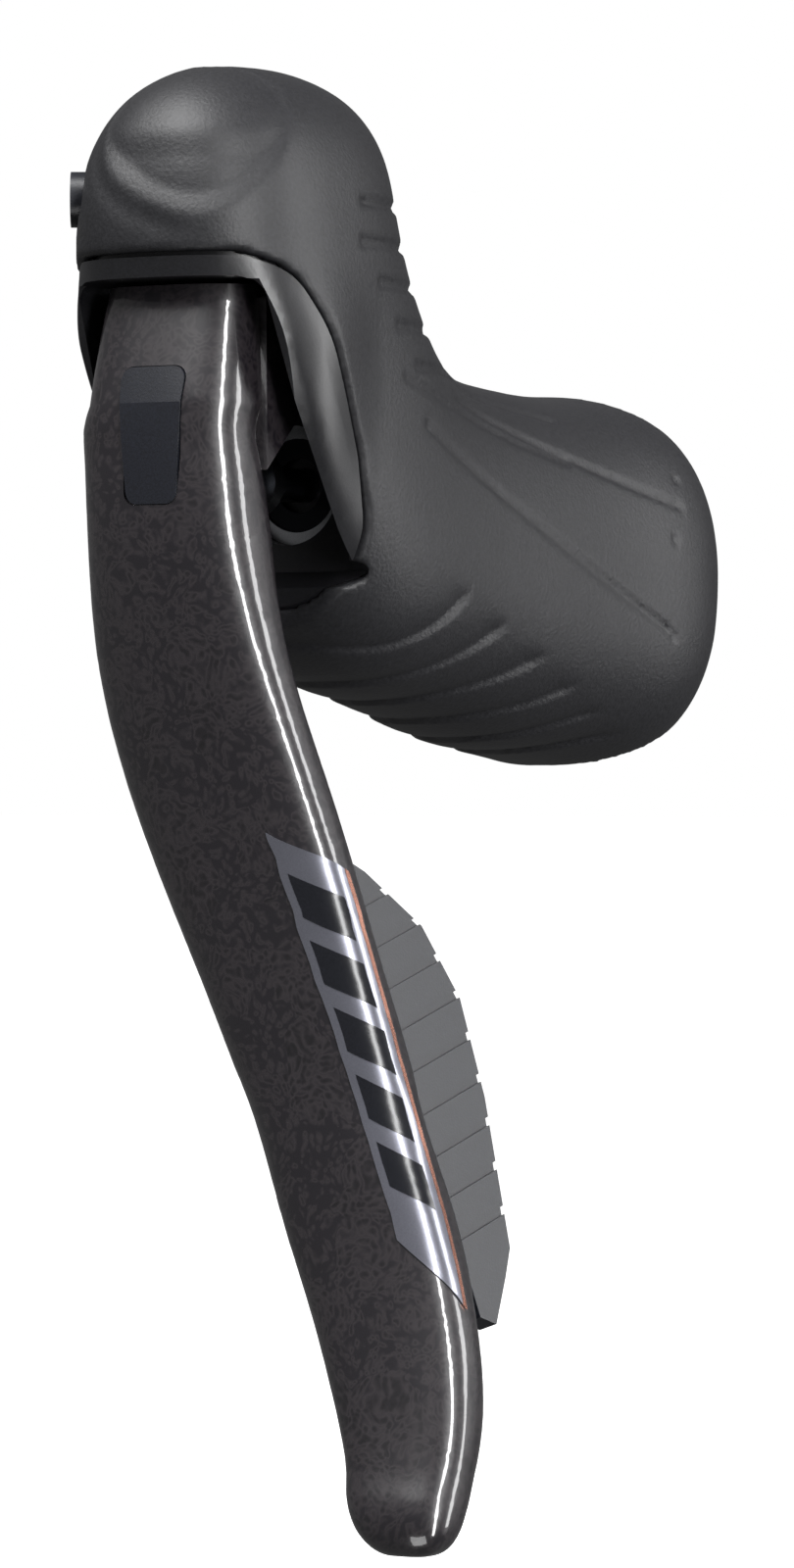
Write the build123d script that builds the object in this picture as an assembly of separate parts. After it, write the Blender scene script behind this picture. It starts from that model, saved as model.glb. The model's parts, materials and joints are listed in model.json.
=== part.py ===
"""Left-hand brake and shift lever for a drop handlebar, hydraulic brake, wireless shifting.

Frame of the written files: origin on the handlebar's axis at mid-height of the clamp band,
+Z up along the handlebar, +X outboard, -Y forwards.  The forms are drawn with the handlebar's
axis at y = BAR_Y and moved on writing.  Millimetres and degrees.
"""
from build123d import *
from math import cos, pi, radians, sin, sqrt
import os

os.makedirs("parts", exist_ok=True)

# Overall sizes
BAR_RADIUS = 12.0          # handlebar, bare, at the clamp
HOOD_WIDTH = 40.0          # widest point of the grip
BLADE_LENGTH = 130.3       # crease of the lever blade to its tip
BLADE_WIDTH = 24.8         # widest point of the lever blade
HOOD_WALL = 2.0            # rubber thickness

# Fits
RUNNING = 0.05             # radial clearance of a moving shaft
SEAT = 0.05                # radial clearance of a fixed part in its seat
HOOD_FIT = 0.15            # space between rubber and housing
SIDE_GAP = 0.8             # blade to the cheeks of its slot

# Travels
LEVER_TRAVEL = 16.0        # degrees
PADDLE_TRAVEL = 8.0        # degrees
AUX_TRAVEL = 0.8
FUNCTION_TRAVEL = 0.5

# Brake mechanism
PIVOT_Y = -87.0
PIVOT_Z = 25.5
PIN_R = 2.5
PUSH_ARM = 16.5            # pivot to ball of the reach screw
BALL_R = 2.5
CYLINDER_R = 5.5
CYLINDER_WALL = 1.5
SLEEVE_FRONT = -76.0
SLEEVE_REAR = -42.0

# Clamp
BAR_Y = -6.0
BAND_WIDTH = 16.0
BAND_THICK = 1.0
BOLT_X = 10.8
BOLT_R = 2.5

# Electrics
CELL_R = 10.0
CELL_THICK = 3.2
CELL_Y = -62.0
CELL_Z = 5.0

# Derived
SLOT_HALF = 11.2 * BLADE_WIDTH / 24.8 + SIDE_GAP
SLOT_TOP = 31.6
SLOT_REAR = -78.0
SLOT_LIP = -82.3
PUSH_Z = PIVOT_Z - PUSH_ARM * cos(radians(LEVER_TRAVEL / 2))
BALL_Y = PIVOT_Y - PUSH_ARM * sin(radians(LEVER_TRAVEL / 2))
PISTON_TRAVEL = 2 * PUSH_ARM * sin(radians(LEVER_TRAVEL / 2))
SLEEVE_R = CYLINDER_R + CYLINDER_WALL
BORE_END = SLEEVE_REAR - 2.0
CREASE_Z = 17.5

# Where the fixed pieces sit
HOSE_X = -8.5
HOSE_Y = BAR_Y - 22.0
HOSE_Z = 13.0
PORT_Y = -57.6
RIM_Z = 48.0
BLEED_X = 3.0
BLEED_Z = 41.5
CAP_SCREWS = [(-2.2, -99.6), (-2.2, -77.6)]
DOOR_X = -11.5
COVER_X = 11.3
COVER_SCREWS = [(-74.3, 9.0), (-49.7, 6.0)]
FUNCTION_Y = -90.0
FUNCTION_Z = 12.0
LIGHT_Y = -92.6
LIGHT_Z = 17.6
ARM_IN = 7.3
ARM_OUT = 9.6
ARM_HOLE_R = 3.5

# Hood stations: rear or upper edge (y, z), front or lower edge (y, z), half-width, squareness
STATIONS = [
    ((-9.5, 19.0), (-9.5, -21.0), 18.2, 2.3),
    ((-13, 21.2), (-13, -23.2), 20.0, 2.4),
    ((-26, 21.8), (-25, -23.0), 19.2, 2.4),
    ((-42, 22.4), (-43, -20.6), 17.3, 2.3),
    ((-54, 24.2), (-60, -16.6), 16.4, 2.3),
    ((-61, 28.0), (-76, -12.2), 16.2, 2.4),
    ((-65.5, 33.0), (-90, 0), 16.2, 2.5),
    ((-68, 38.0), (-102, 16), 16.0, 2.6),
    ((-69.5, 43.0), (-108, 33), 15.8, 2.6),
    ((-70.2, 48.5), (-108.2, 44.5), 14.4, 2.4),
    ((-74.5, 54.0), (-103.5, 52.8), 10.0, 2.2),
    ((-82.5, 56.5), (-95.5, 56.5), 3.8, 2.0),
]

# Blade stations: height, centre x, front y, rear y, half-width
UPPER_BLADE = [
    (31.0, -0.9, -103.0, -92.5, 9.2),
    (24.5, -0.9, -104.8, -92.9, 9.8),
    (CREASE_Z, -0.8, -106.4, -93.4, 10.3),
]
LOWER_BLADE = [
    (CREASE_Z, -0.8, -106.4, -93.4, 10.3),
    (7.7, -0.9, -106.1, -93.2, 10.6),
    (-3.4, -0.2, -105.0, -92.5, 11.1),
    (-14.6, 0.9, -103.0, -92.0, 12.0),
    (-25.7, 3.4, -100.5, -90.0, 12.6),
    (-36.8, 6.3, -98.8, -88.3, 12.5),
    (-48.0, 10.1, -97.6, -87.0, 11.7),
    (-59.0, 14.4, -97.0, -86.3, 10.9),
    (-70.0, 18.2, -97.0, -86.3, 10.5),
    (-81.4, 22.6, -97.6, -87.0, 10.4),
    (-92.5, 26.5, -99.6, -89.0, 9.3),
    (-103.6, 29.1, -102.3, -92.5, 7.4),
    (-107.8, 29.8, -103.4, -94.4, 6.5),
    (-110.6, 30.4, -102.8, -96.2, 4.9),
    (-111.8, 30.6, -101.6, -98.0, 2.6),
]

# Paddle hinge: a frame on the lower blade, x across it, y rearwards, z up along it
PADDLE = Plane(origin=(16.6, -91.5, -62.0), x_dir=(0.9435, 0, 0.3314), z_dir=(-0.3314, 0, 0.9435))
HINGE_X = -3.0
HINGE_Y = 1.0
HINGE_PIN_R = 1.25

# Button on the horn: where its axis meets the rubber, and the way it faces
AUX_POINT = Vector(-12.8, -101.9, 41.3)
AUX_OUT = Vector(-0.843, -0.538, 0)
AUX_R = 3.2


def block(x, y, z):
    """Box from its (low, high) ranges."""
    size = (x[1] - x[0], y[1] - y[0], z[1] - z[0])
    return Pos(sum(x) / 2, sum(y) / 2, sum(z) / 2) * Box(*size)


def rod(radius, start, end):
    start = Vector(*start)
    end = Vector(*end)
    low = (Align.CENTER, Align.CENTER, Align.MIN)
    return Plane(origin=start, z_dir=end - start) * Cylinder(radius, (end - start).length, align=low)


def tube(outer, inner, start, end):
    return rod(outer, start, end) - rod(inner, start, end)


def side_prism(points, x):
    """Outline in (y, z), extruded over the range x."""
    face = Plane.YZ.offset(x[0]) * Polygon(*points, align=None)
    return extrude(face, x[1] - x[0], dir=(1, 0, 0))


def superellipse(plane, half_x, half_y, power, count=24):
    points = []
    for i in range(count):
        angle = 2 * pi * i / count
        c = cos(angle)
        s = sin(angle)
        x = half_x * abs(c) ** (2 / power) * (1 if c >= 0 else -1)
        y = half_y * abs(s) ** (2 / power) * (1 if s >= 0 else -1)
        points.append(plane.from_local_coords(Vector(x, y, 0)))
    return Face(Wire([Spline(*points, periodic=True)]))


def envelope(inset):
    """The hood's outer form, drawn in by inset all round."""
    faces = []
    for i, ((ty, tz), (by, bz), half, power) in enumerate(STATIONS):
        up = Vector(0, ty - by, tz - bz)
        mid = Vector(0, (ty + by) / 2, (tz + bz) / 2)
        if i == len(STATIONS) - 1:
            mid -= Vector(0, 0, inset)
        plane = Plane(origin=mid, x_dir=(1, 0, 0), z_dir=Vector(1, 0, 0).cross(up))
        width = half * HOOD_WIDTH / 40 - inset * 0.8
        faces.append(superellipse(plane, width, up.length / 2 - inset, power))
    return loft(faces)


def opening(shrink):
    """The hood's front opening, where the housing's cheeks and bezel show."""
    edge = [(-104, 34.3), (-98.5, 32.3), (-93, 24), (-86, 12), (-82.5, 4), (-82.2, -1), (-84, -6)]
    face = Polygon(*edge, (-86, -20), (-125, -20), (-125, 34.3), align=None)
    face = fillet(face.vertices().filter_by(lambda v: v.X > -103 and v.Y > -15), 8)
    if shrink:
        face = offset(face, -shrink, kind=Kind.INTERSECTION)
    face = Plane.YZ * face
    return extrude(face, 30, both=True)


def blade_slot(half, lip, top):
    """Space the blade swings in, open downwards, narrower at the lip under the master cylinder."""
    outline = [(-125, -40), (-125, top), (SLOT_REAR, top), (SLOT_REAR, -1), (lip, -3), (lip, -40)]
    return side_prism(outline, (-half, half))


def coil(radius, wire, length, turns):
    """Coil spring along +Z from z = wire."""
    path = Helix(pitch=(length - 2 * wire) / turns, height=length - 2 * wire, radius=radius)
    section = Plane(origin=path @ 0, z_dir=path % 0) * Circle(wire)
    return Pos(0, 0, wire) * sweep(section, path=path)


def hex_socket_screw(head_r, head, shank_r, shank, key):
    """Socket head screw, seat of the head at the origin, shank along -Z."""
    low = (Align.CENTER, Align.CENTER, Align.MIN)
    high = (Align.CENTER, Align.CENTER, Align.MAX)
    screw = Cylinder(head_r, head, align=low) + Cylinder(shank_r, shank, align=high)
    socket = extrude(RegularPolygon(key / sqrt(3), 6), head * 0.55)
    return screw - Pos(0, 0, head * 0.5) * socket


# ---------------------------------------------------------------- housing and what is fixed in it

def bolt_notch():
    """Clamp bolt's clearance: nut pocket, shank hole, head pocket open outboard."""
    notch = block((BOLT_X - 3.4, 30), (BAR_Y - 26.4, 5), (-5.5, 5.5))
    notch += rod(BOLT_R + 0.25, (BOLT_X, BAR_Y - 36, 0), (BOLT_X, BAR_Y - 20, 0))
    notch += block((BOLT_X - 4.0, 30), (BAR_Y - 41.6, BAR_Y - 34), (-4.4, 4.4))
    return notch


def make_housing(skin, face_skin):
    exposed = face_skin & opening(0.4)
    front_cut = [(-125, 31.3), (-102.6, 31.3), (-93, 7.8), (-85.4, -2.1), (-78, -10.2), (-78, -45), (-125, -45)]
    body = skin + exposed - side_prism(front_cut, (-30, 30))
    slot = blade_slot(SLOT_HALF, SLOT_LIP, SLOT_TOP)
    body -= fillet(slot.edges().filter_by(Axis.Y).sort_by(Axis.Z)[-2:], 2)

    # Tongue against the handlebar
    keep = block((-11.8, 11.8), (BAR_Y - 30, 5), (-17, 17))
    keep += rod(5.4, (HOSE_X, HOSE_Y - 18, HOSE_Z), (HOSE_X, HOSE_Y, HOSE_Z))
    body -= block((-40, 40), (BAR_Y - 28, 5), (-40, 40)) - keep
    body -= rod(BAR_RADIUS, (0, BAR_Y, -40), (0, BAR_Y, 40))
    for side in (-1, 1):
        body -= rod(BAR_RADIUS + 1.2, (0, BAR_Y, side * BAND_WIDTH / 2), (0, BAR_Y, side * 40))
    body -= block((-20, HOSE_X + 5.2), (HOSE_Y, 5), (HOSE_Z - 5.0, 40))
    band = (-BAND_WIDTH / 2 - 0.4, BAND_WIDTH / 2 + 0.4)
    body -= block((-20, -BAR_RADIUS + 0.6), (BAR_Y - 14.4, 5), band)
    body -= block((-20, -8.8), (BAR_Y - 14.4, BAR_Y - 12.3), band)
    body -= block((BAR_RADIUS - 0.6, 20), (BAR_Y - 26.4, 5), band)
    body -= bolt_notch()

    # Master cylinder, its outlet and the passage to the reservoir
    body -= rod(SLEEVE_R + SEAT, (0, -90, PUSH_Z), (0, SLEEVE_REAR, PUSH_Z))
    body -= rod(1.2, (0, SLEEVE_REAR - 0.5, PUSH_Z), (HOSE_X, HOSE_Y - 10, HOSE_Z))
    body -= rod(1.2, (0, -80, 39.5), (0, PORT_Y, PUSH_Z + SLEEVE_R - 0.5))
    body -= rod(2.6, (HOSE_X, HOSE_Y - 11, HOSE_Z), (HOSE_X, HOSE_Y + 2, HOSE_Z))
    body -= rod(3.4 + SEAT, (HOSE_X, HOSE_Y - 9.6, HOSE_Z), (HOSE_X, HOSE_Y + 2, HOSE_Z))

    # Reservoir in the horn
    body -= block((-40, 40), (-125, -60), (RIM_Z, 80))
    chamber = Pos(0, -88.5, 42.5) * Box(15, 15, 13)
    body -= fillet(chamber.edges().filter_by(Axis.Z), 4)
    body -= rod(2.5 + SEAT, (BLEED_X, -108, BLEED_Z), (BLEED_X, -95.5, BLEED_Z))
    body -= rod(3.8, (BLEED_X, -112, BLEED_Z), (BLEED_X, -102.0, BLEED_Z))
    for x, y in CAP_SCREWS:
        body -= rod(1.5 + SEAT, (x, y, RIM_Z - 5.6), (x, y, 60))

    # Lever pivot
    body -= rod(PIN_R + SEAT, (-20, PIVOT_Y, PIVOT_Z), (20, PIVOT_Y, PIVOT_Z))
    for side in (-1, 1):
        body -= rod(4.6, (side * 12.7, PIVOT_Y, PIVOT_Z), (side * 20, PIVOT_Y, PIVOT_Z))

    # Coin cell bay, inboard
    body -= rod(CELL_R + 0.15, (-20, CELL_Y, CELL_Z), (-8.1, CELL_Y, CELL_Z))
    body -= rod(CELL_R + 2.05, (-20, CELL_Y, CELL_Z), (DOOR_X, CELL_Y, CELL_Z))
    body -= block((-9, -7.75), (CELL_Y - 4.1, CELL_Y + 4.1), (CELL_Z - 5.1, CELL_Z - 0.9))

    # Circuit board bay, outboard
    body -= block((8.6, 20), (-71.5, -52.5), (-3, 17))
    body -= cover_outline(0, (COVER_X, 25))
    for y, z in COVER_SCREWS:
        body -= rod(1.1 + SEAT, (7.9, y, z), (20, y, z))

    # Buttons and status light
    body -= rod(4.2 + RUNNING, AUX_POINT + AUX_OUT * 3, AUX_POINT - AUX_OUT * 6.1)
    body -= rod(2.4 + RUNNING, (-20, FUNCTION_Y, FUNCTION_Z), (-12.5, FUNCTION_Y, FUNCTION_Z))
    body -= rod(1.2 + SEAT, (-20, LIGHT_Y, LIGHT_Z), (-12.9, LIGHT_Y, LIGHT_Z))

    # Hollows under the grip, with a rib left between them
    body -= block((-8, 8), (-66, -50), (-25, -4.5))
    body -= block((-8, 6), (-47, -36), (-25, -4.5))
    return body


def cover_outline(inset, x):
    plate = Plane.YZ.offset(x[0]) * Pos(-62, 7) * RectangleRounded(30 - 2 * inset, 22 - 2 * inset, 5 - inset)
    return extrude(plate, x[1] - x[0])


def make_hood(outer, cavity):
    hood = outer - cavity - opening(0)
    hood -= blade_slot(SLOT_HALF + 0.6, SLOT_LIP - 0.5, 0)
    hood -= rod(BAR_RADIUS + 2.3, (0, BAR_Y, -40), (0, BAR_Y, 40))
    hood -= rod(AUX_R + 0.3, AUX_POINT + AUX_OUT * 5, AUX_POINT - AUX_OUT * 3)
    return hood


def reservoir_parts(skin):
    above = block((-40, 40), (-125, -60), (RIM_Z + 1.0, 80))
    cap = skin & above
    hollow = Pos(0, -88.5, RIM_Z + 2.0) * Box(13, 14, 3)
    cap -= fillet(hollow.edges().filter_by(Axis.Z), 4)
    flange = skin & block((-40, 40), (-125, -60), (RIM_Z + 0.02, RIM_Z + 0.98))
    cup = Pos(0, -88.5, RIM_Z - 3.5) * Box(14, 14, 7.1)
    cup = fillet(cup.edges().filter_by(Axis.Z), 3.6)
    well = Pos(0, -88.5, RIM_Z - 2.5) * Box(12.4, 12.4, 7.1)
    bladder = flange + cup - fillet(well.edges().filter_by(Axis.Z), 3)
    screws = []
    for x, y in CAP_SCREWS:
        cap -= rod(1.6, (x, y, RIM_Z), (x, y, 70))
        cap -= rod(3.0, (x, y, RIM_Z + 2.2), (x, y, 70))
        bladder -= rod(1.6, (x, y, RIM_Z - 1), (x, y, RIM_Z + 2))
        screws.append(Pos(x, y, RIM_Z + 2.2) * hex_socket_screw(2.8, 1.6, 1.5, 7.6, 2.5))
    seat = Plane(origin=(BLEED_X, -102.95, BLEED_Z), z_dir=(0, -1, 0))
    bleed = seat * hex_socket_screw(3.5, 1.6, 2.5, 6.6, 3)
    seal = tube(3.5, 2.5 + SEAT, (BLEED_X, -102.93, BLEED_Z), (BLEED_X, -102.03, BLEED_Z))
    return {
        "reservoir_cap": cap,
        "reservoir_bladder": bladder,
        "cap_screws": Compound(children=screws),
        "bleed_screw": bleed,
        "bleed_seal": seal,
    }


def electric_parts(skin):
    def at(x):
        return (x, CELL_Y, CELL_Z)

    door = skin & rod(CELL_R + 2, at(-20), at(DOOR_X - 0.65))
    door -= block((-20, -13.3), (CELL_Y - 5, CELL_Y + 5), (CELL_Z - 1, CELL_Z + 1))
    seal = tube(CELL_R + 1.7, CELL_R + 0.5, at(DOOR_X - 0.62), at(DOOR_X - 0.02))
    cell = rod(CELL_R, at(-8.2 - CELL_THICK), at(-8.2))
    contact = block((-8.15, -7.8), (CELL_Y - 4, CELL_Y + 4), (CELL_Z - 5, CELL_Z - 1))

    board = block((8.65, 9.65), (-71.4, -52.6), (-2.9, 16.9))
    shield = block((9.68, 11.0), (-68, -57), (1, 13))
    cover = skin & cover_outline(SEAT, (COVER_X + 0.05, 25))
    screws = []
    for y, z in COVER_SCREWS:
        cover -= rod(1.2, (8, y, z), (20, y, z))
        cover -= rod(2.3, (12.5, y, z), (20, y, z))
        seat = Plane(origin=(12.5, y, z), z_dir=(1, 0, 0))
        screws.append(seat * hex_socket_screw(2.1, 1.1, 1.1, 4.4, 1.6))

    light = rod(1.2, (-14.9, LIGHT_Y, LIGHT_Z), (-12.95, LIGHT_Y, LIGHT_Z))
    function_switch = rod(2.3, (-13.0, FUNCTION_Y, FUNCTION_Z), (-12.52, FUNCTION_Y, FUNCTION_Z))
    function_button = rod(2.4, (-15.3, FUNCTION_Y, FUNCTION_Z), (-13.55, FUNCTION_Y, FUNCTION_Z))
    aux_button = rod(AUX_R, AUX_POINT + AUX_OUT * 1.0, AUX_POINT - AUX_OUT * 2.8)
    aux_button += rod(4.2, AUX_POINT - AUX_OUT * 2.7, AUX_POINT - AUX_OUT * 3.5)
    aux_switch = rod(3.4, AUX_POINT - AUX_OUT * 5.1, AUX_POINT - AUX_OUT * 6.08)
    aux_switch += rod(1.2, AUX_POINT - AUX_OUT * 4.4, AUX_POINT - AUX_OUT * 5.5)
    return {
        "battery_door": door,
        "battery_seal": seal,
        "coin_cell": cell,
        "battery_contact": contact,
        "circuit_board": board,
        "radio_shield": shield,
        "electronics_cover": cover,
        "cover_screws": Compound(children=screws),
        "status_light": light,
        "function_switch": function_switch,
        "function_button": function_button,
        "aux_switch": aux_switch,
        "aux_button": aux_button,
    }


def clamp_parts():
    half = BAND_WIDTH / 2
    outer = BAR_RADIUS + BAND_THICK
    y = BAR_Y
    band = tube(outer, BAR_RADIUS, (0, y, -half), (0, y, half)) & block((-40, 40), (y, 40), (-40, 40))
    band += block((-outer, -BAR_RADIUS), (y - 14, y + 0.1), (-half, half))
    band += block((-outer, -9), (y - 14, y - 12.6), (-half, half))
    band += block((BAR_RADIUS, outer), (y - 25, y + 0.1), (-half, half))
    band -= block((BAR_RADIUS - 1, outer + 1), (y - 24.1, y - 17.9), (-4.1, 4.1))
    band -= rod(BOLT_R + 0.3, (BOLT_X, y - 30, 0), (BOLT_X, y - 12, 0))
    nut = block((BOLT_X - 3.2, outer + 0.8), (y - 24, y - 18), (-4, 4))
    nut -= rod(BOLT_R + SEAT, (BOLT_X, y - 30, 0), (BOLT_X, y - 10, 0))
    seat = Plane(origin=(BOLT_X, y - 34, 0), z_dir=(0, -1, 0))
    bolt = seat * hex_socket_screw(3.9, 4, BOLT_R, 17, 4)
    return {"clamp_band": band, "clamp_nut": nut, "clamp_bolt": bolt}


def cylinder_parts():
    def at(y):
        return (0, y, PUSH_Z)

    piston_front = SLEEVE_FRONT + 1.5
    piston_rear = piston_front + 16
    sleeve = rod(SLEEVE_R, at(SLEEVE_FRONT), at(SLEEVE_REAR)) - rod(CYLINDER_R, at(SLEEVE_FRONT), at(BORE_END))
    sleeve -= rod(CYLINDER_R + 0.6, at(SLEEVE_FRONT + 0.35), at(SLEEVE_FRONT + 1.45))
    sleeve -= rod(1.2, at(BORE_END - 1), at(SLEEVE_REAR + 1))
    sleeve -= rod(0.6, at(PORT_Y), (0, PORT_Y, PUSH_Z + 20))
    retainer = tube(CYLINDER_R + 0.5, 3.2, at(SLEEVE_FRONT + 0.4), at(SLEEVE_FRONT + 1.4))

    piston = rod(CYLINDER_R - RUNNING, at(piston_front), at(piston_rear))
    seals = []
    for y in (piston_front + 3.0, piston_rear - 2.6):
        piston -= tube(CYLINDER_R + 1, CYLINDER_R - 1.3, at(y), at(y + 1.6))
        seals.append(tube(CYLINDER_R - RUNNING, CYLINDER_R - 1.3 + SEAT, at(y + 0.05), at(y + 1.55)))
    piston -= rod(2.0 + SEAT, at(piston_front - 1), at(piston_front + 1.5))
    piston -= rod(4.6, at(piston_rear - 0.8), at(piston_rear + 1)) - rod(2.2, at(piston_rear - 1), at(piston_rear + 1))
    head = BALL_Y + BALL_R + 0.13
    pushrod = rod(4.0, at(head), at(head + 2)) + rod(2.0, at(head + 1), at(piston_front + 1.45))
    spring_start = piston_rear - 0.75
    spring = coil(3.6, 0.45, BORE_END - 0.05 - spring_start, 5)
    spring = Plane(origin=at(spring_start), z_dir=(0, 1, 0)) * spring
    return {
        "cylinder_sleeve": sleeve,
        "piston_retainer": retainer,
        "piston": piston,
        "secondary_seal": seals[0],
        "primary_seal": seals[1],
        "pushrod": pushrod,
        "piston_spring": spring,
    }


def hose_parts():
    def at(run):
        return (HOSE_X, HOSE_Y + run, HOSE_Z)

    nut = Plane(origin=at(0.05), z_dir=(0, 1, 0)) * extrude(RegularPolygon(8 / sqrt(3), 6), 4)
    nut = nut + rod(3.4, at(-7.5), at(1)) - rod(2.6, at(-20), at(20))
    olive = tube(3.4, 2.65, at(-9.5), at(-7.55))
    return {"hose_nut": nut, "hose_olive": olive}


def pivot_parts():
    def at(x):
        return (x, PIVOT_Y, PIVOT_Z)

    pin = rod(PIN_R, at(-13.9), at(13.9))
    clips = []
    bushes = []
    springs = {}
    for side in (-1, 1):
        pin -= tube(PIN_R + 1, PIN_R - 0.4, at(side * 12.75), at(side * 13.5))
        clips.append(tube(4.3, PIN_R - 0.4 + SEAT, at(side * 12.78), at(side * 13.45)))
        bush = rod(ARM_HOLE_R, at(side * ARM_IN), at(side * (ARM_OUT + 0.3)))
        bush += rod(4.0, at(side * (ARM_OUT + 0.05)), at(side * (SLOT_HALF - 0.3)))
        bushes.append(bush - rod(PIN_R + RUNNING, at(side * 6), at(side * 13)))
    spring = Plane(origin=at(-5.5), z_dir=(1, 0, 0), x_dir=(0, -1, 0)) * coil(3.15, 0.55, 11, 6)
    springs["lever_spring"] = spring
    return {
        "pivot_pin": pin,
        "pivot_clips": Compound(children=clips),
        "pivot_bushes": Compound(children=bushes),
        **springs,
    }


# ---------------------------------------------------------------- lever blade and what rides on it

def blade_table(rows):
    """Stations with the named length and width put in."""
    scaled = []
    for z, x, front, rear, half in rows:
        if z < -26:
            z = -26 + (z + 26) * (BLADE_LENGTH - CREASE_Z - 26) / (130.3 - 17.5 - 26)
        scaled.append((z, x, front, rear, half * BLADE_WIDTH / 24.8))
    return scaled


def blade_loft(rows, power=2.7):
    faces = []
    for z, x, front, rear, half in rows:
        plane = Plane(origin=(x, (front + rear) / 2, z), x_dir=(1, 0, 0), z_dir=(0, 0, 1))
        faces.append(superellipse(plane, half, (rear - front) / 2, power))
    return loft(faces)


def blade_outer():
    return blade_loft(blade_table(UPPER_BLADE)) + blade_loft(blade_table(LOWER_BLADE))


def blade_channel():
    """Hollow of the blade, open rearwards."""
    upper = []
    for z, x, front, rear, half in blade_table(UPPER_BLADE):
        upper.append((min(z, 28.5), x, front + 2.2, rear + 6, half - 2.0))
    lower = []
    for z, x, front, rear, half in blade_table(LOWER_BLADE)[:11]:
        lower.append((z, x, front + 2.2, rear + 6, half - 2.0))
    return blade_loft(upper, 4) + blade_loft(lower, 4)


def cover_prism(grow):
    """Tapered outline of the reach cover, along Y."""
    top = CREASE_Z + 4.1 + grow
    low = CREASE_Z - 11.5 - grow
    outline = [(-3.35 - grow, low), (3.35 + grow, low), (4.3 + grow, top), (-4.3 - grow, top)]
    face = Polygon(*outline, align=None)
    face = fillet(face.vertices(), 1.5)
    return extrude(Plane.XZ.offset(95) * face, 15, dir=(0, -1, 0))


def lug(w):
    """Ear for the paddle's hinge pin, centred at height w in the paddle's frame."""
    ear = block((HINGE_X - 3, HINGE_X + 3), (-4.2, HINGE_Y), (w - 1.4, w + 1.4))
    ear += rod(3, (HINGE_X, HINGE_Y, w - 1.4), (HINGE_X, HINGE_Y, w + 1.4))
    return PADDLE * ear


def make_blade():
    outer = blade_outer()
    blade = outer - blade_channel()
    arm = [(-97, 29.6), (PIVOT_Y - 0.6, PIVOT_Z + 4.7), (PIVOT_Y + 4.4, PIVOT_Z - 1.8), (-91.5, 15), (-97, 10)]
    for side in (-1, 1):
        x = sorted((side * ARM_IN, side * ARM_OUT))
        plate = side_prism(arm, x)
        plate += rod(4.8, (side * ARM_IN, PIVOT_Y, PIVOT_Z), (side * ARM_OUT, PIVOT_Y, PIVOT_Z))
        blade += plate
    blade -= rod(ARM_HOLE_R + SEAT, (-20, PIVOT_Y, PIVOT_Z), (20, PIVOT_Y, PIVOT_Z))

    # Boss and ribs for the reach screw
    blade += rod(4.4, (0, -104.5, PUSH_Z), (0, -94.8, PUSH_Z)) & outer
    blade += block((-8.8, 7.8), (-104.5, -96), (PUSH_Z - 1, PUSH_Z + 1)) & outer
    blade -= rod(2.5 + RUNNING, (0, -110, PUSH_Z), (0, -90, PUSH_Z))

    # Seat of the reach cover
    blade -= cover_prism(0.1) - outer.moved(Pos(0, 1.2, 0))

    # Ears for the paddle, ribs across the channel
    hinge = PADDLE * rod(HINGE_PIN_R + SEAT, (HINGE_X, HINGE_Y, -30), (HINGE_X, HINGE_Y, 30))
    for w in (-16, 16):
        blade += lug(w)
    for z in (-12, -30):
        blade += block((-14, 22), (-110, -95), (z - 0.8, z + 0.8)) & outer
    blade -= hinge & PADDLE * block((-20, 20), (-20, 20), (-17.2, 40))
    cover = (outer.moved(Pos(0, -0.25, 0)) & cover_prism(0)) - outer.moved(Pos(0, 1.1, 0))
    return blade, cover


def make_reach_screw():
    screw = rod(2.5, (0, -104.2, PUSH_Z), (0, -94.2, PUSH_Z))
    screw += rod(1.5, (0, -94.5, PUSH_Z), (0, BALL_Y, PUSH_Z))
    screw += Pos(0, BALL_Y, PUSH_Z) * Sphere(BALL_R)
    key = Plane(origin=(0, -101.5, PUSH_Z), z_dir=(0, -1, 0)) * extrude(RegularPolygon(2.5 / sqrt(3), 6), 4)
    return screw - key


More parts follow.
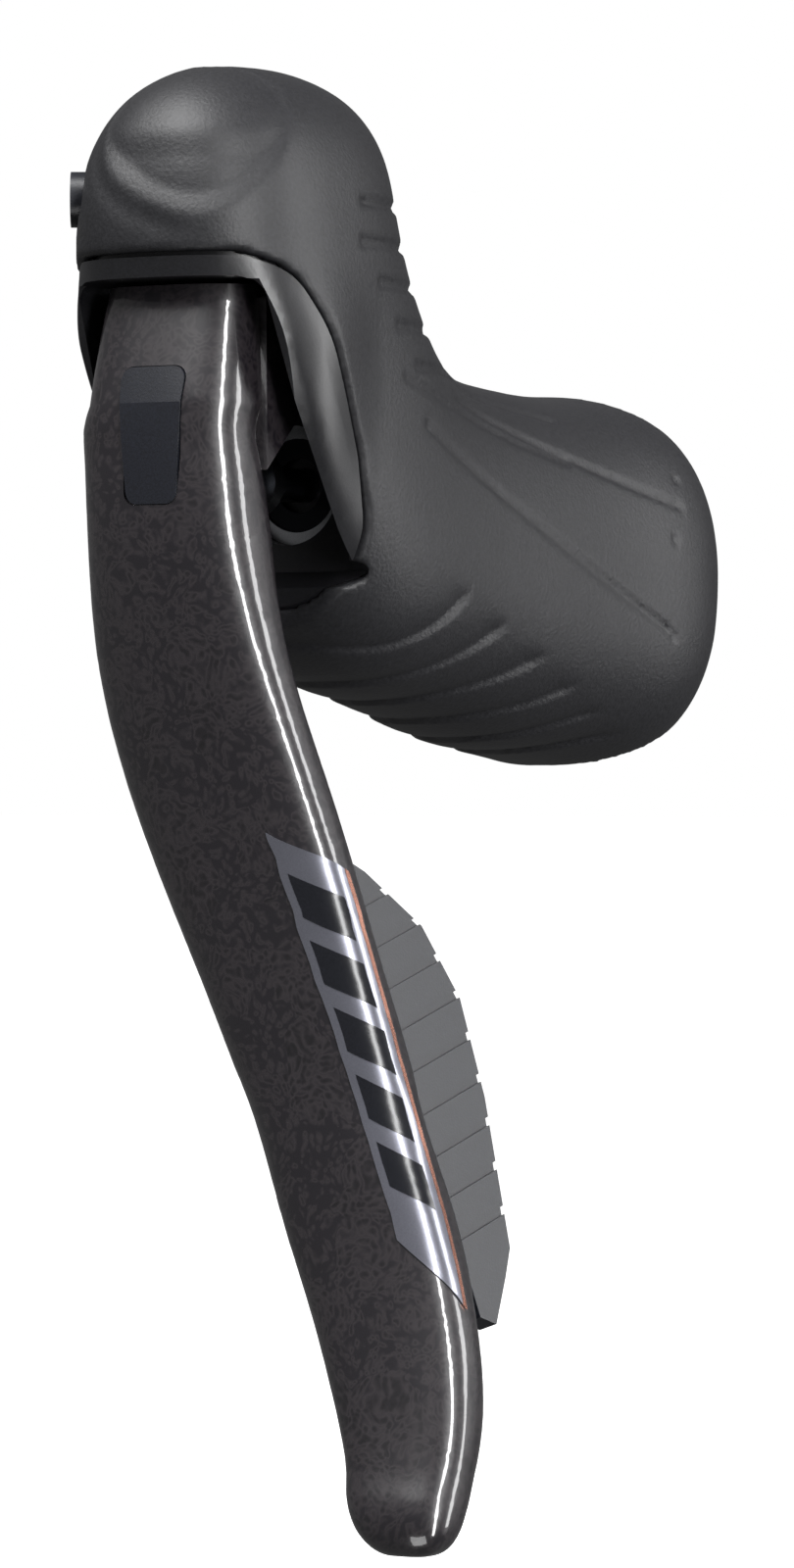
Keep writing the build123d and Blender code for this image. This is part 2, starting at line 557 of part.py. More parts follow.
def paddle_parts():
    lean = 0.2                 # outboard run of the fin per mm rearwards
    front = 6.6
    hub = rod(3, (HINGE_X, HINGE_Y, -14.4), (HINGE_X, HINGE_Y, 8))
    web = block((HINGE_X - 1.3, HINGE_X + 1.3), (HINGE_Y, front + 2.4), (-14.4, 8))
    web += block((HINGE_X - 1.3, 5.2), (front, front + 2.4), (-18, 18))
    outline = [(front, 27.5), (9.1, 25.7), (15.6, 18.6), (18.3, 9.5), (17.6, -2.4)]
    outline += [(14.5, -20.2), (12.4, -23.5), (8.8, -28.6), (front, -27.5)]
    fin = side_prism(outline, (-20, 40))
    slab = [(1.6, 0), (4.0, 0), (4.0 + lean * 30, 30), (1.6 + lean * 30, 30)]
    plate = extrude(Plane.XY.offset(-40) * Polygon(*slab, align=None), 80, dir=(0, 0, 1))
    fin = fin & plate
    paddle = hub + web + fin
    for i in range(9):
        w = -20 + i * 5
        groove = Plane(origin=(4.0, 0, w), x_dir=(lean, 1, 0.28), z_dir=(-1, lean, 0)) * Box(60, 0.9, 0.8)
        paddle -= groove
    paddle -= rod(HINGE_PIN_R + RUNNING, (HINGE_X, HINGE_Y, -30), (HINGE_X, HINGE_Y, 30))
    pin = rod(HINGE_PIN_R, (HINGE_X, HINGE_Y, -17.1), (HINGE_X, HINGE_Y, 17.4))
    switch = block((-8.4, -6.6), (1.6, 4.6), (-3, 3)) + rod(0.8, (-7, 4.0, 0), (-5.6, 4.0, 0))
    spring = Pos(HINGE_X, HINGE_Y, 8.6) * coil(1.6, 0.3, 5.6, 6)
    return {
        "shift_paddle": PADDLE * paddle,
        "paddle_pin": PADDLE * pin,
        "shift_switch": PADDLE * switch,
        "paddle_spring": PADDLE * spring,
    }


def main():
    outer = envelope(0)
    skin = envelope(HOOD_WALL)
    parts = {"housing": make_housing(skin, envelope(0.5))}
    parts["hood_cover"] = make_hood(outer, envelope(HOOD_WALL - HOOD_FIT))
    parts.update(reservoir_parts(skin))
    parts.update(electric_parts(skin))
    parts.update(clamp_parts())
    parts.update(cylinder_parts())
    parts.update(hose_parts())
    parts.update(pivot_parts())
    parts["lever_blade"], parts["reach_cover"] = make_blade()
    parts["reach_screw"] = make_reach_screw()
    parts.update(paddle_parts())
    for name, shape in parts.items():
        shape = Pos(0, -BAR_Y, 0) * shape
        solids = shape.solids()
        print(f"{name:20s} solids {len(solids)}  valid {shape.is_valid}  volume {shape.volume:10.1f}")
        export_step(shape, f"parts/{name}.step")


main()
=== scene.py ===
import bpy
import json
import math
import numpy as np
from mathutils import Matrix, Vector
from mathutils.bvhtree import BVHTree


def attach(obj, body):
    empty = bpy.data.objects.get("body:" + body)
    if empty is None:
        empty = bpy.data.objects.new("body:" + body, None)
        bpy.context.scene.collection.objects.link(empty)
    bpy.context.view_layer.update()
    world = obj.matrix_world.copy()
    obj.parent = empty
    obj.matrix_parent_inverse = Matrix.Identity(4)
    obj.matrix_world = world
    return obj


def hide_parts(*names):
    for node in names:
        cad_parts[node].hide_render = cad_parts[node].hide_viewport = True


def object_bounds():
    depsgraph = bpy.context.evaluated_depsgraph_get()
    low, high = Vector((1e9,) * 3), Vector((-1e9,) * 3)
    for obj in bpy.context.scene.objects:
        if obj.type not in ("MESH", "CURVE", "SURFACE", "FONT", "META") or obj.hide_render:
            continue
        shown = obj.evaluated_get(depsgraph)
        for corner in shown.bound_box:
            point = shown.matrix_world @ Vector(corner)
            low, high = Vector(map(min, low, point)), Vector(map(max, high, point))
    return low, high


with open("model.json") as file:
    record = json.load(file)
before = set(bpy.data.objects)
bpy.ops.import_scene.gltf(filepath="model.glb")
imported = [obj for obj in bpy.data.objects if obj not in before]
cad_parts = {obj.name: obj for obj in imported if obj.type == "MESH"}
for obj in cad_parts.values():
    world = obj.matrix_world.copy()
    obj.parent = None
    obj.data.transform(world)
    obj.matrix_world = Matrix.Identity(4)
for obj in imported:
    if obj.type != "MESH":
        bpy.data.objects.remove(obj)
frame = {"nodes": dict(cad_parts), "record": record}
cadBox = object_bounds()
mm = 0.001


# helpers for meshes

def only(piece):
    # one object active and selected, all others not
    bpy.ops.object.select_all(action="DESELECT")
    piece.select_set(True)
    bpy.context.view_layer.objects.active = piece


def nodeCopy(node, name):
    # a CAD node's mesh as a piece of its own, with its loose triangles joined
    source = frame["nodes"][node]
    piece = bpy.data.objects.new(name, source.data.copy())
    bpy.context.scene.collection.objects.link(piece)
    piece.data.materials.clear()
    only(piece)
    bpy.ops.object.mode_set(mode="EDIT")
    bpy.ops.mesh.select_all(action="SELECT")
    bpy.ops.mesh.remove_doubles(threshold=0.002 * mm)
    bpy.ops.object.mode_set(mode="OBJECT")
    if piece.data.has_custom_normals:
        bpy.ops.mesh.customdata_custom_splitnormals_clear()
    return piece


def applyModifier(piece, kind, **settings):
    only(piece)
    modifier = piece.modifiers.new(kind.title(), kind)
    for name, value in settings.items():
        setattr(modifier, name, value)
    bpy.ops.object.modifier_apply(modifier=modifier.name)


def points(piece):
    spots = np.zeros(len(piece.data.vertices) * 3)
    piece.data.vertices.foreach_get("co", spots)
    return spots.reshape(-1, 3) / mm


def movePoints(piece, spots):
    piece.data.vertices.foreach_set("co", (spots * mm).ravel())
    piece.data.update()


def rayTree(piece):
    # the piece's mesh in a form that rays can be cast at
    mesh = piece.data
    return BVHTree.FromPolygons([v.co for v in mesh.vertices], [p.vertices for p in mesh.polygons])


def smoothStep(low, high, value):
    t = np.clip((value - low) / (high - low), 0, 1)
    return t * t * (3 - 2 * t)


def place(piece, body, slotName, material, *nodes):
    # finished piece: its transform goes into the mesh, then it rides, stands in for nodes and gets its finish
    only(piece)
    bpy.ops.object.transform_apply(location=True, rotation=True, scale=True)
    piece.data.materials.clear()
    piece.data.materials.append(material)
    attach(piece, body)
    if nodes:
        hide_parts(*nodes)


# helpers for materials

def linear(hexCode):
    channels = [int(hexCode[i:i + 2], 16) / 255 for i in (1, 3, 5)]
    return [c / 12.92 if c <= 0.04045 else ((c + 0.055) / 1.055) ** 2.4 for c in channels] + [1]


def addNode(tree, kind, settings={}, values={}, links={}, stops=()):
    # one node with its settings, socket values and links, and the colour stops of a ramp
    node = tree.nodes.new(kind)
    for name, value in settings.items():
        setattr(node, name, value)
    for socket, value in values.items():
        node.inputs[socket].default_value = value
    for socket, source in links.items():
        tree.links.new(source, node.inputs[socket])
    if stops:
        band = node.color_ramp.elements
        while len(band) < len(stops):
            band.new(0.5)
        for element, (position, hexCode) in zip(band, stops):
            element.position = position
            element.color = linear(hexCode)
    return node


def newMaterial(name, values):
    # a material with only a Principled shader; gives back its tree, shader and object coordinates too
    material = bpy.data.materials.new(name)
    material.use_nodes = True
    tree = material.node_tree
    tree.nodes.clear()
    shader = addNode(tree, "ShaderNodeBsdfPrincipled", values=values)
    addNode(tree, "ShaderNodeOutputMaterial", links={"Surface": shader.outputs["BSDF"]})
    coordinates = addNode(tree, "ShaderNodeTexCoord")
    return material, tree, shader, coordinates.outputs["Object"]


def grain(tree, shader, coordinates, size, height):
    # fine raised grain: size between grains and height in millimetres
    noise = addNode(tree, "ShaderNodeTexNoise", values={"Scale": 1 / (size * mm), "Detail": 2.0},
                    links={"Vector": coordinates})
    bump = addNode(tree, "ShaderNodeBump", values={"Strength": 1.0, "Distance": height * mm},
                   links={"Height": noise.outputs["Fac"]})
    tree.links.new(bump.outputs["Normal"], shader.inputs["Normal"])
    return noise.outputs["Fac"]


def plainFinish(name, low, high, size, height, values):
    # a finish that only needs two close shades and a grain of a real size
    material, tree, shader, coordinates = newMaterial(name, values)
    fac = grain(tree, shader, coordinates, size, height)
    shade = addNode(tree, "ShaderNodeValToRGB", links={"Fac": fac}, stops=[(0.3, low), (0.7, high)])
    tree.links.new(shade.outputs["Color"], shader.inputs["Base Color"])
    return material


carbon = {
    "flake": 7.0, "fibre": 1.0,      # width of the flakes of tow and of the fibres in them, in millimetres
    "swirl": 6.0, "swirlReach": 7.0,  # size of the swirl that bends the flakes, and how far it moves them
    "flakeShare": 0.55, "coatRoughness": 0.03,
    "shades": [(0.15, "#0d0b0e"), (0.45, "#171418"), (0.7, "#2a2629"), (0.95, "#161318")],
}


def forgedCarbon():
    # chopped carbon tow pressed in a mould, then clear coated: dark marbled flakes under a wet gloss
    material, tree, shader, coordinates = newMaterial(
        "forged carbon, clear coated",
        {"IOR": 1.55, "Roughness": 0.38, "Metallic": 0.0, "Coat Weight": 1.0,
         "Coat Roughness": carbon["coatRoughness"], "Coat IOR": 1.5})
    warp = addNode(tree, "ShaderNodeTexNoise", values={"Scale": 1 / (carbon["swirl"] * mm), "Detail": 3.0},
                   links={"Vector": coordinates})
    shift = addNode(tree, "ShaderNodeVectorMath", {"operation": "SCALE"},
                    {"Scale": carbon["swirlReach"] * mm}, {0: warp.outputs["Color"]})
    moved = addNode(tree, "ShaderNodeVectorMath", {"operation": "ADD"}, {},
                    {0: coordinates, 1: shift.outputs["Vector"]})
    flakes = addNode(tree, "ShaderNodeTexVoronoi", {"feature": "F1"},
                     {"Scale": 1 / (carbon["flake"] * mm), "Randomness": 1.0},
                     {"Vector": moved.outputs["Vector"]})
    fibres = addNode(tree, "ShaderNodeTexVoronoi", {"feature": "SMOOTH_F1"},
                     {"Scale": 1 / (carbon["fibre"] * mm), "Smoothness": 0.6},
                     {"Vector": moved.outputs["Vector"]})
    tone = addNode(tree, "ShaderNodeMath", {"operation": "MULTIPLY_ADD"}, {1: carbon["flakeShare"]},
                   {0: flakes.outputs["Color"], 2: fibres.outputs["Distance"]})
    shade = addNode(tree, "ShaderNodeValToRGB", links={"Fac": tone.outputs["Value"]}, stops=carbon["shades"])
    tree.links.new(shade.outputs["Color"], shader.inputs["Base Color"])
    return material


def makeFinishes():
    # one finish for each material slot of the record
    return {
        # thermoplastic rubber out of a spark-eroded mould: dull charcoal with a tight grain
        "rubber_hood": plainFinish("moulded rubber, spark-eroded grain", "#17171a", "#232326", 0.45, 0.05,
                                   {"IOR": 1.52, "Roughness": 0.52}),
        # glass-filled nylon, moulded: satin black with a faint cloud in its sheen
        "housing_composite": plainFinish("glass-filled nylon, moulded", "#141416", "#1d1d20", 0.3, 0.01,
                                         {"IOR": 1.53, "Roughness": 0.36}),
        "carbon_blade": forgedCarbon(),
        # acetal copolymer, moulded and lightly textured: dark slate with a soft sheen
        "dark_plastic": plainFinish("acetal copolymer, fine texture", "#17181d", "#1d1f26", 0.25, 0.012,
                                    {"IOR": 1.48, "Roughness": 0.38}),
        # aluminium, turned: bright with fine turning marks
        "aluminium": plainFinish("aluminium, turned", "#b4b6ba", "#c6c8cc", 0.12, 0.004,
                                 {"Metallic": 1.0, "Roughness": 0.3}),
        # aluminium, blasted and black anodised: even dark metal sheen
        "black_anodised": plainFinish("aluminium, black anodised", "#1b1b1e", "#242428", 0.1, 0.006,
                                      {"Metallic": 0.8, "Roughness": 0.42}),
        # stainless steel, ground: cooler and darker than the aluminium
        "steel": plainFinish("stainless steel, ground", "#8e9195", "#a3a6aa", 0.15, 0.003,
                             {"Metallic": 1.0, "Roughness": 0.28}),
        # alloy steel, blackened: oily dark sheen on the screws
        "black_steel": plainFinish("alloy steel, black oxide", "#1f2023", "#2b2c30", 0.12, 0.004,
                                   {"Metallic": 0.9, "Roughness": 0.34}),
        # brass, turned: warm yellow metal
        "brass": plainFinish("brass, turned", "#b08d45", "#c7a35a", 0.12, 0.004,
                             {"Metallic": 1.0, "Roughness": 0.26}),
        # nitrile rubber, moulded: dull black
        "seal_rubber": plainFinish("nitrile rubber, moulded", "#131314", "#1b1b1c", 0.2, 0.01,
                                   {"IOR": 1.52, "Roughness": 0.62}),
        # glass-epoxy board under green solder mask: even green gloss
        "green_board": plainFinish("glass-epoxy board, green mask", "#12482c", "#1a5c38", 0.6, 0.004,
                                   {"IOR": 1.55, "Roughness": 0.3}),
        # polycarbonate, polished: a smoky window over the light
        "clear_lens": plainFinish("polycarbonate, polished", "#b9bec4", "#c9ced4", 1.0, 0.002,
                                  {"IOR": 1.585, "Roughness": 0.08, "Transmission Weight": 0.6}),
        # acetal, moulded: near black with a waxy sheen, for the piston and the bushes
        "acetal": plainFinish("acetal, moulded", "#26262a", "#2e2e33", 0.3, 0.006,
                              {"IOR": 1.48, "Roughness": 0.4}),
    }


# the finishes go on every CAD node first

finishes = makeFinishes()
for part in frame["record"]["subparts"]:
    shown = frame["nodes"].get(part["node"])
    if shown:
        for slotIndex in range(max(1, len(shown.material_slots))):
            if not shown.material_slots:
                shown.data.materials.append(finishes[part["material_slot"]])
            shown.material_slots[slotIndex].material = finishes[part["material_slot"]]
print("finishes on", len(frame["nodes"]), "CAD nodes")

# the rubber hood and the housing's cheeks

hood = {
    "voxel": 0.62, "smoothing": 0.5, "smoothingTurns": 3,  # remesh size, then how it is smoothed
    "cheekFlare": 1.9,              # how far the cheeks and the hood beside them stand out at the front
    # where the flare fades in: along y, down from the top, up from the foot, and out from the middle
    "cheekFront": (-76, -90), "cheekTop": (36, 24), "cheekFoot": (-6, 8), "cheekSide": (9.5, 13),
    "facetLean": (0.30, -0.72, 0.62), "facetLevel": 99.0, "facetSlope": 0.5, "facetDepth": 0.8,
    "facetTop": (45, 49), "facetTopLoss": 0.65,  # shallower at the top, over the reservoir's cap
    "lipDepth": 0.3, "lipDrop": 1.2, "lipWidth": 1.1,  # the shallow groove below the facet
    "tileTop": 41.0, "tilePitch": 4.6, "tileCount": 5, "tileDepth": 0.6, "tileWidth": 0.5,
    "tileFront": -81, "tileLean": 0.86, "tileMiddle": 36.3, "topTileBack": 4.5,
    "ribFirst": -74.0, "ribPitch": 9.2, "ribCount": 6, "ribDepth": 0.5,
    "ribSweep": 20, "ribHalfWidth": 16.5, "ribCurl": 2.2,
    "ribTop": -3.8, "ribTopSlope": 0.416, "ribTopFrom": 54.2,  # the line that the ribs end at
    "dotDepth": 0.5, "dotRadius": 0.45,
    "lineDepth": 0.42, "lineWidth": 0.42,
    # grip lines as start and end (y, z) on the hood's side
    "lines": [((-53.8, 21.1), (-31.4, 18.0)), ((-71.4, 21.2), (-34.0, 12.7)),
              ((-57.8, 19.9), (-14.1, 8.1)), ((-66.9, 15.9), (-16.8, -7.0))],
    "dots": [(-13.4, 11.4), (-15.8, 4.1), (-15.7, -7.8)],
}


def flareCheeks(spots):
    # the cheeks of the blade slot stand out a little further at the front
    x, y, z = spots.T
    amount = smoothStep(*hood["cheekFront"], y) * smoothStep(*hood["cheekTop"], z)
    amount = amount * smoothStep(*hood["cheekFoot"], z) * smoothStep(*hood["cheekSide"], abs(x))
    out = spots.copy()
    out[:, 0] += np.sign(x) * hood["cheekFlare"] * amount
    return out


def groove(distance, width):
    return np.exp(-(distance / width) ** 2)


def toSegment(y, z, start, end):
    # distance from points in the side view to a line between two points
    start, end = np.array(start), np.array(end)
    run = end - start
    along = np.clip(((y - start[0]) * run[0] + (z - start[1]) * run[1]) / (run @ run), 0, 1)
    return np.hypot(y - start[0] - along * run[0], z - start[1] - along * run[1])


def outerSkin(piece):
    # 1 for points on the outside of the shell, 0 on its inner wall
    mesh = piece.data
    tree = rayTree(piece)
    outside = np.zeros(len(mesh.vertices))
    for vertex in mesh.vertices:
        hit = tree.ray_cast(vertex.co + vertex.normal * 0.3 * mm, vertex.normal, 60 * mm)
        outside[vertex.index] = hit[0] is None
    return outside


def hoodDetail(spots, outside):
    # depth to press in, in millimetres, for each point of the hood
    x, y, z = spots.T
    steepness = np.linalg.norm(hood["facetLean"])
    height = spots @ (np.array(hood["facetLean"]) / steepness) - hood["facetLevel"] / steepness
    deepest = hood["facetDepth"] * (1 - hood["facetTopLoss"] * smoothStep(*hood["facetTop"], z))
    press = np.minimum(np.maximum(height, 0) * hood["facetSlope"], deepest)
    below = groove(height + hood["lipDrop"], hood["lipWidth"])
    press += hood["lipDepth"] * (below * smoothStep(-96, -100, y) * smoothStep(9, 2, x))

    for number in range(hood["tileCount"]):
        level = hood["tileTop"] - number * hood["tilePitch"]
        back = hood["topTileBack"] if number == 0 else 0
        front = hood["tileFront"] + (hood["tileMiddle"] - level) * hood["tileLean"] + back
        reach = smoothStep(front, front + 0.6, y) * smoothStep(-8, -4, x) * (z > 18) * (y < -54)
        press += hood["tileDepth"] * reach * groove(z - level, hood["tileWidth"])
    for start, end in hood["lines"]:
        line = groove(toSegment(y, z, start, end), hood["lineWidth"])
        press += hood["lineDepth"] * line * smoothStep(8, 10, abs(x))
    for y0, z0 in hood["dots"]:
        press += hood["dotDepth"] * groove(np.hypot(y - y0, z - z0), hood["dotRadius"]) * (abs(x) > 10)

    # ribs under the grip: they sweep rearwards as they climb the side
    sweep = y - hood["ribSweep"] * (abs(x) / hood["ribHalfWidth"]) ** hood["ribCurl"]
    top = hood["ribTop"] - hood["ribTopSlope"] * (y + hood["ribTopFrom"])
    low = smoothStep(top + 0.6, top - 2.5, z)
    for number in range(hood["ribCount"]):
        at = sweep - (hood["ribFirst"] + number * hood["ribPitch"])
        step = np.where(at < 0, np.exp(at / 2.2), groove(at, 0.35))
        press += hood["ribDepth"] * low * step * (y < -15) * (y > -79)
    return press * outside


def makeHood():
    cover = nodeCopy("hood_cover", "rubberHood")
    applyModifier(cover, "REMESH", mode="VOXEL", voxel_size=hood["voxel"] * mm, use_smooth_shade=True)
    applyModifier(cover, "SMOOTH", factor=hood["smoothing"], iterations=hood["smoothingTurns"])
    spots = flareCheeks(points(cover))
    movePoints(cover, spots)
    outside = outerSkin(cover)
    normals = np.zeros(len(cover.data.vertices) * 3)
    cover.data.vertices.foreach_get("normal", normals)
    press = hoodDetail(spots, outside)
    movePoints(cover, spots - normals.reshape(-1, 3) * press[:, None])
    place(cover, "lever_body", "rubber_hood", finishes["rubber_hood"], "hood_cover")
    print("hood:", len(cover.data.polygons), "faces")

    core = nodeCopy("housing", "nylonHousing")
    movePoints(core, flareCheeks(points(core)))
    only(core)
    bpy.ops.object.shade_smooth_by_angle(angle=math.radians(28))
    place(core, "lever_body", "housing_composite", finishes["housing_composite"], "housing")
    print("housing:", len(core.data.polygons), "faces")


# the blade and its badge

blade = {
    "low": -106.0, "high": 17.0,     # stretch of the blade whose edges are drawn fair, in millimetres
    "depth": 10.6,                   # front to back of its section
    "aside": 5.4,                    # its front is measured this far from the middle, beside the reach screw
    "belly": 0.8, "bellyHeight": -8.0, "bellySpread": 16.0,
    "halfRun": 60, "edgeDegree": 7, "frontDegree": 6,  # scale and degrees of the fair curves
}
badge = {
    "axisDepth": 5.2,                # the badge wraps round a line this far behind the blade's front
    "from": 54, "to": 90,            # from the front face round to the side, in degrees
    "top": (-31.2, -35.7), "bottom": (-76.9, -84.7),
    "thickness": 0.14, "lineAngle": 3,
    "barCount": 5, "barGap": 2.6, "barMargin": 4,  # the margin is at the top and again at the bottom
}


def bladeSection(tree, level, guess):
    # left edge, right edge and front of the blade at one height, in millimetres
    far = 90
    aside = blade["aside"]
    front = tree.ray_cast(Vector((guess + aside, -far * 2, level)) * mm, Vector((0, 1, 0)))[0].y / mm
    depth = front + blade["depth"] / 2
    left = tree.ray_cast(Vector((-far, depth, level)) * mm, Vector((1, 0, 0)))[0].x / mm
    right = tree.ray_cast(Vector((far, depth, level)) * mm, Vector((-1, 0, 0)))[0].x / mm
    return left, right, front


def fairEdges(piece):
    # the edges of the blade follow one smooth curve each, so that their reflections run clean
    spots = points(piece)
    x, y, z = spots.T
    tree = rayTree(piece)
    levels = np.arange(blade["low"], blade["high"], 1.0)
    left, right, front = [], [], []
    guess = 30.0
    for level in levels:
        edges = bladeSection(tree, level, guess)
        guess = (edges[0] + edges[1]) / 2
        left.append(edges[0])
        right.append(edges[1])
        front.append(edges[2])
    middle = (blade["low"] + blade["high"]) / 2
    along, here = (levels - middle) / blade["halfRun"], (z - middle) / blade["halfRun"]
    leftCurve = np.polyfit(along, left, blade["edgeDegree"])
    rightCurve = np.polyfit(along, right, blade["edgeDegree"])
    frontCurve = np.polyfit(along, front, blade["frontDegree"])
    oldLeft, oldRight = np.interp(z, levels, left), np.interp(z, levels, right)
    belly = blade["belly"] * np.exp(-((z - blade["bellyHeight"]) / blade["bellySpread"]) ** 2)
    newLeft = np.polyval(leftCurve, here) - belly
    newRight = np.polyval(rightCurve, here)
    share = (x - oldLeft) / (oldRight - oldLeft)
    fair = newLeft + share * (newRight - newLeft)
    inside = smoothStep(blade["low"], blade["low"] + 5, z)
    inside = inside * smoothStep(blade["high"] - 1, blade["high"] - 9, z)
    out = spots.copy()
    out[:, 0] = x + (fair - x) * inside
    oldFront = np.interp(z, levels, front)
    newFront = np.polyval(frontCurve, here)
    out[:, 1] = y + (newFront - oldFront) * smoothStep(8, 3, y - oldFront) * inside
    return out


def makeBlade():
    piece = nodeCopy("lever_blade", "carbonBlade")
    movePoints(piece, fairEdges(piece))
    only(piece)
    bpy.ops.object.shade_smooth_by_angle(angle=math.radians(32))
    place(piece, "brake_lever", "carbon_blade", finishes["carbon_blade"], "lever_blade")
    print("blade:", len(piece.data.polygons), "faces")
    return piece


def wrapPatch(name, tree, axisAt, angles, tops, bottoms, lift, columns=14, rows=90):
    # a grid laid on the blade round its outboard front edge, then given a thickness
    bpy.ops.object.select_all(action="DESELECT")
    bpy.ops.mesh.primitive_grid_add(x_subdivisions=columns, y_subdivisions=rows, size=1)
    patch = bpy.context.object
    patch.name = name
    for vertex in patch.data.vertices:
        u, v = vertex.co.x + 0.5, vertex.co.y + 0.5
        bearing = math.radians(angles[0] + (angles[1] - angles[0]) * u)
        share = (math.degrees(bearing) - badge["from"]) / (badge["to"] - badge["from"])
        top = tops[0] + (tops[1] - tops[0]) * share
        bottom = bottoms[0] + (bottoms[1] - bottoms[0]) * share
        z = top + (bottom - top) * v
        ahead = Vector((math.sin(bearing), -math.cos(bearing), 0))
        centre = axisAt(z) * mm
        hit = tree.ray_cast(centre + ahead * 40 * mm, -ahead, 60 * mm)
        vertex.co = hit[0] + hit[1] * lift * mm
    applyModifier(patch, "SOLIDIFY", thickness=badge["thickness"] * mm, offset=-1)
    only(patch)
    bpy.ops.object.mode_set(mode="EDIT")
    bpy.ops.mesh.select_all(action="SELECT")
    bpy.ops.mesh.normals_make_consistent(inside=False)
    bpy.ops.object.mode_set(mode="OBJECT")
    bpy.ops.object.shade_smooth_by_angle(angle=math.radians(40))
    return patch


def makeBadge(piece):
    spots = points(piece)
    tree = rayTree(piece)
    levels = np.arange(-90.0, -24.0, 2.0)
    middles, fronts = [], []
    for level in levels:
        near = spots[abs(spots[:, 2] - level) < 1.6]
        middles.append((near[:, 0].min() + near[:, 0].max()) / 2)
        fronts.append(near[:, 1].min() + badge["axisDepth"])

    def axisAt(z):
        # the point at that height on the line that the badge wraps round
        return Vector((float(np.interp(z, levels, middles)), float(np.interp(z, levels, fronts)), z))

    start, end, edge = badge["from"], badge["to"], badge["to"] - badge["lineAngle"]
    plate = wrapPatch("badgeFilm", tree, axisAt, (start, edge), badge["top"], badge["bottom"], 0.10)
    place(plate, "brake_lever", "aluminium", badgeFilm())
    # a painted highlight: a thin copper-tinted line on the badge's outboard edge, where the blade's side face
    # catches the light
    line = wrapPatch("badgeHighlightLine", tree, axisAt, (edge, end), badge["top"], badge["bottom"], 0.13, 4)
    place(line, "brake_lever", "aluminium", copperHighlightLine())
    ink = darkInk()
    pitch = (badge["top"][0] - badge["bottom"][0] - 2 * badge["barMargin"]) / badge["barCount"]
    for number in range(badge["barCount"]):
        high = badge["barMargin"] + number * pitch
        low = high + pitch - badge["barGap"]
        tops = [value - high for value in badge["top"]]
        bottoms = [value - low for value in badge["top"]]
        bar = wrapPatch("badgeBar%d" % (number + 1), tree, axisAt, (start + 5, end - 9), tops, bottoms,
                        0.17, 8, 16)
        place(bar, "brake_lever", "black_anodised", ink)
    print("badge on the blade")


def badgeFilm():
    # metallised vinyl under the clear coat: cool silver grey with a soft sheen
    return plainFinish("metallised vinyl film", "#74757f", "#7c7d87", 0.2, 0.002,
                       {"Metallic": 0.7, "Roughness": 0.3, "Coat Weight": 0.8, "Coat Roughness": 0.05})


def copperHighlightLine():
    # painted highlight: a warm pink metal line along the badge's outboard edge, standing in for the highlight
    # on the blade's side face
    return plainFinish("copper-tinted painted highlight", "#c08a78", "#cb9685", 0.2, 0.002,
                       {"Metallic": 1.0, "Roughness": 0.25})


def darkInk():
    # screen-printed ink: near black, a little duller than the coat
    return plainFinish("screen ink, dark", "#131418", "#1a1b20", 0.2, 0.002, {"IOR": 1.5, "Roughness": 0.22})


makeHood()
makeBadge(makeBlade())

# stage: floor, lights, camera

studio = {
    "floorDrop": 85 * mm, "floorSize": 60.0,
    "azimuth": 32.5, "distance": 0.880, "sideways": -23.8 * mm, "rise": 1.95 * mm, "lens": 162,
    "worldGlow": 0.14, "floorGlow": 1.1,
    # name, bearing and height in degrees, distance, width and height in metres, power in watts
    "softboxes": [("edge strip", 60, 0, 1.2, 0.22, 1.6, 26), ("top softbox", -20, 60, 1.1, 0.8, 0.8, 22),
                  ("side softbox", 118, 10, 1.2, 0.35, 1.4, 14), ("low softbox", 10, -45, 1.2, 0.7, 0.5, 5)],
}


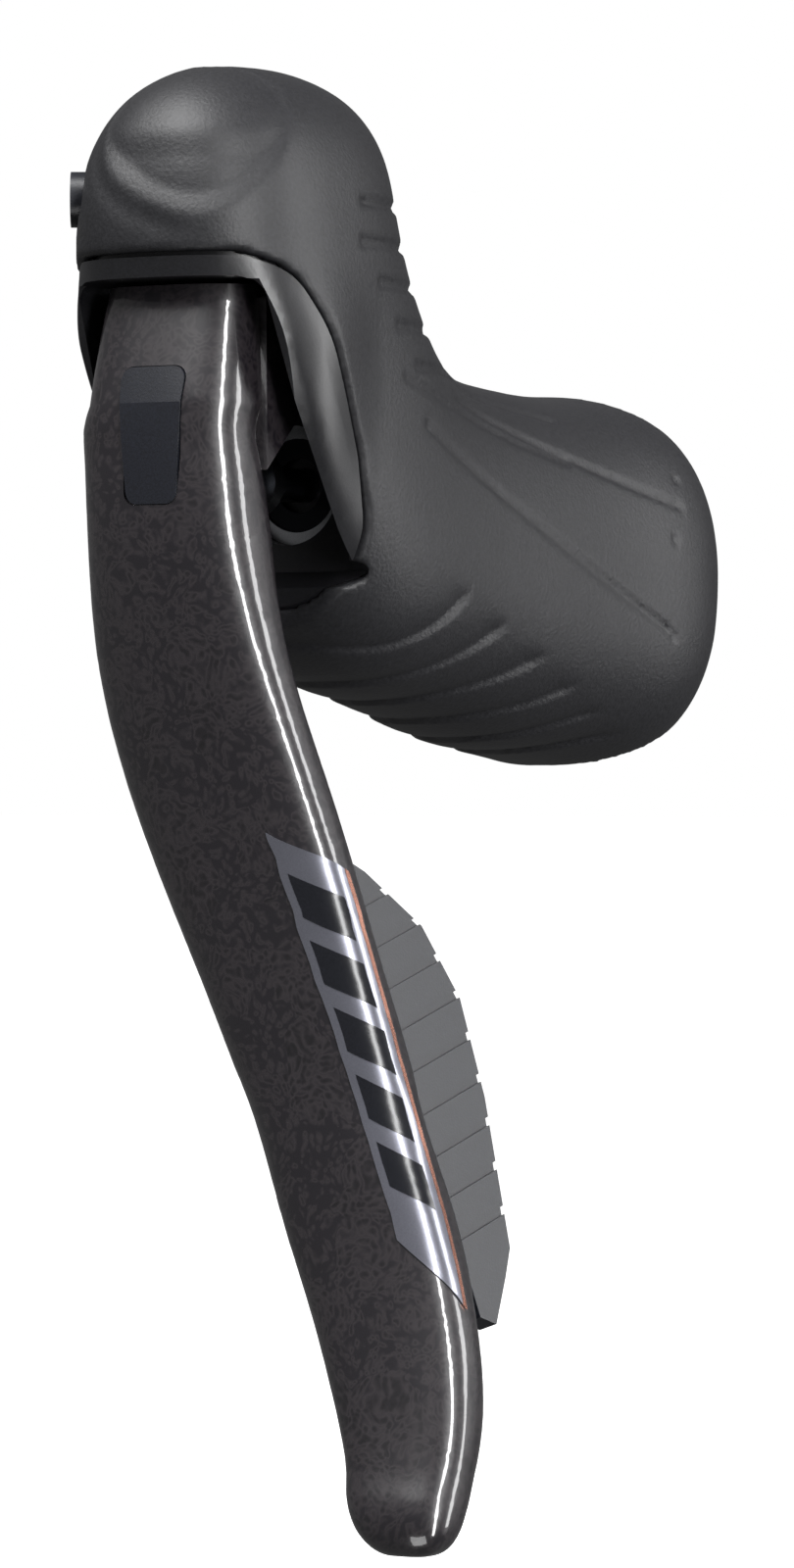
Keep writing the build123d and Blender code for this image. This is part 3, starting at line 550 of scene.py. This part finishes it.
def makeStage():
    low, high = cadBox
    middle = (low.z + high.z) / 2
    bpy.ops.mesh.primitive_plane_add(size=studio["floorSize"], location=(0, 0, low.z - studio["floorDrop"]))
    floor = bpy.context.object
    floor.name = "floor"
    # painted board, matt: an even white ground
    paint = newMaterial("painted floor, matt", {
        "Roughness": 0.9, "Emission Strength": studio["floorGlow"], "Base Color": linear("#f4f4f4"),
        "Emission Color": linear("#ffffff")})[0]
    floor.data.materials.append(paint)
    # it is only a ground to look at: the softboxes light the lever
    floor.visible_diffuse = floor.visible_glossy = False

    world = bpy.data.worlds.new("white studio")
    world.use_nodes = True
    sky = world.node_tree
    sky.nodes.clear()
    glow = addNode(sky, "ShaderNodeBackground",
                   values={"Color": linear("#ffffff"), "Strength": studio["worldGlow"]})
    white = addNode(sky, "ShaderNodeBackground", values={"Color": linear("#ffffff"), "Strength": 1.0})
    seen = addNode(sky, "ShaderNodeLightPath")
    both = addNode(sky, "ShaderNodeMixShader", links={
        0: seen.outputs["Is Camera Ray"], 1: glow.outputs["Background"], 2: white.outputs["Background"]})
    addNode(sky, "ShaderNodeOutputWorld", links={"Surface": both.outputs["Shader"]})
    bpy.context.scene.world = world
    bpy.context.scene.view_settings.view_transform = "Standard"

    turn = math.radians(studio["azimuth"])
    back = Vector((math.sin(turn), -math.cos(turn), 0))
    right = Vector((math.cos(turn), math.sin(turn), 0))
    camera = bpy.data.objects.new("camera", bpy.data.cameras.new("camera"))
    bpy.context.scene.collection.objects.link(camera)
    target = Vector((0, -4 * mm, middle + studio["rise"]))
    camera.location = target + back * studio["distance"] + right * studio["sideways"]
    camera.rotation_euler = (math.pi / 2, 0, turn)
    camera.data.lens = studio["lens"]
    camera.data.sensor_fit = "VERTICAL"
    camera.data.sensor_height = 36
    camera.data.clip_start = 0.01
    bpy.context.scene.camera = camera
    print("camera height", round(middle, 4))

    def softbox(name, azimuth, elevation, reach, width, height, power):
        # an area light at that bearing, aimed at the middle of the lever
        bearing, lift = math.radians(azimuth), math.radians(elevation)
        aim = Vector((10 * mm, -60 * mm, middle))
        away = Vector((math.sin(bearing) * math.cos(lift), -math.cos(bearing) * math.cos(lift),
                       math.sin(lift)))
        lamp = bpy.data.objects.new(name, bpy.data.lights.new(name, "AREA"))
        bpy.context.scene.collection.objects.link(lamp)
        lamp.data.shape = "RECTANGLE"
        lamp.data.size, lamp.data.size_y, lamp.data.energy = width, height, power
        lamp.location = aim + away * reach
        lamp.rotation_euler = away.to_track_quat("Z", "Y").to_euler()

    for box in studio["softboxes"]:
        softbox(*box)


makeStage()
print("stage set")
